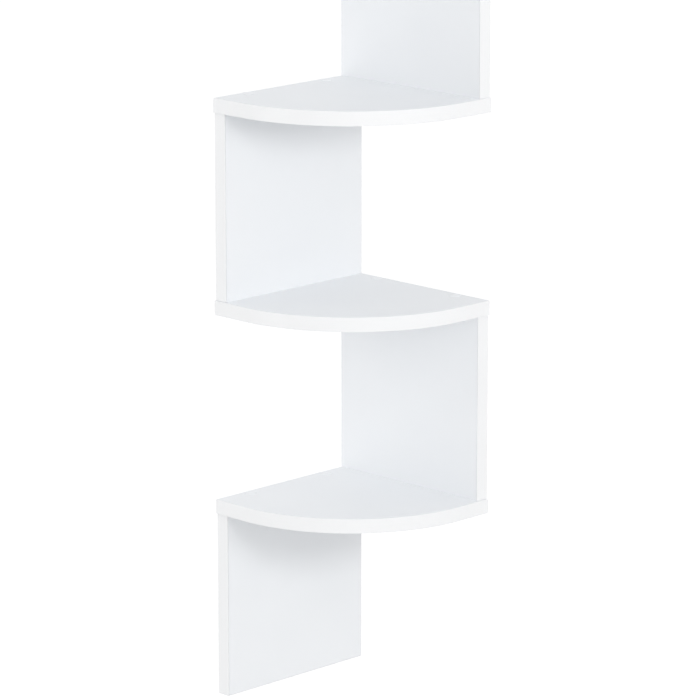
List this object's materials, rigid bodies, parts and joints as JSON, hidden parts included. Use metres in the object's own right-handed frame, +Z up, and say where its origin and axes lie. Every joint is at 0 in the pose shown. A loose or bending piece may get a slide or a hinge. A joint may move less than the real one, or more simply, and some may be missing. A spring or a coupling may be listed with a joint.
{
  "type": "corner shelf unit",
  "caption": "Tall white corner shelf that zig-zags up a room corner: round-fronted shelves screwed to short upright panels that stand against the two walls in turn.",
  "frame": {"origin": "lower end of the line where the two walls meet, level with the lower end of the lowest panel", "axes": "+Z up the corner of the room; +X along the right wall, away from the corner; -Y along the left wall, away from the corner. The left wall is the plane x = 0, the right wall is the plane y = 0, and the unit fills x > 0 and y < 0."},
  "size_m": [0.197, 0.197, 1.233],
  "materials": {
    "board": "white satin melamine face on particleboard",
    "edge_band": "white satin edge band, glued on",
    "cap": "white satin self-adhesive cover cap",
    "screw": "bright zinc plated",
    "keyhole_plate": "stamped, bright zinc plated"
  },
  "bodies": {
    "root": {"panel_1_left": "board", "panel_1_edge_band": "edge_band", "panel_1_end_band": "edge_band", "panel_2_right": "board", "panel_2_edge_band": "edge_band", "panel_3_left": "board", "panel_3_edge_band": "edge_band", "panel_4_right": "board", "panel_4_edge_band": "edge_band", "panel_5_left": "board", "panel_5_edge_band": "edge_band", "panel_6_right": "board", "panel_6_edge_band": "edge_band", "panel_6_end_band": "edge_band", "shelf_1": "board", "shelf_1_edge_band": "edge_band", "shelf_1_screw_down_rear": "screw", "shelf_1_cap_rear": "cap", "shelf_1_screw_up_rear": "screw", "shelf_1_screw_down_front": "screw", "shelf_1_cap_front": "cap", "shelf_1_screw_up_front": "screw", "shelf_2": "board", "shelf_2_edge_band": "edge_band", "shelf_2_screw_down_rear": "screw", "shelf_2_cap_rear": "cap", "shelf_2_screw_up_rear": "screw", "shelf_2_screw_down_front": "screw", "shelf_2_cap_front": "cap", "shelf_2_screw_up_front": "screw", "shelf_3": "board", "shelf_3_edge_band": "edge_band", "shelf_3_screw_down_rear": "screw", "shelf_3_cap_rear": "cap", "shelf_3_screw_up_rear": "screw", "shelf_3_screw_down_front": "screw", "shelf_3_cap_front": "cap", "shelf_3_screw_up_front": "screw", "shelf_4": "board", "shelf_4_edge_band": "edge_band", "shelf_4_screw_down_rear": "screw", "shelf_4_cap_rear": "cap", "shelf_4_screw_up_rear": "screw", "shelf_4_screw_down_front": "screw", "shelf_4_cap_front": "cap", "shelf_4_screw_up_front": "screw", "shelf_5": "board", "shelf_5_edge_band": "edge_band", "shelf_5_screw_down_rear": "screw", "shelf_5_cap_rear": "cap", "shelf_5_screw_up_rear": "screw", "shelf_5_screw_down_front": "screw", "shelf_5_cap_front": "cap", "shelf_5_screw_up_front": "screw", "keyhole_plate_left": "keyhole_plate", "keyhole_plate_left_screw_upper": "screw", "keyhole_plate_left_screw_lower": "screw", "keyhole_plate_right": "keyhole_plate", "keyhole_plate_right_screw_upper": "screw", "keyhole_plate_right_screw_lower": "screw"}
  },
  "joints": []
}
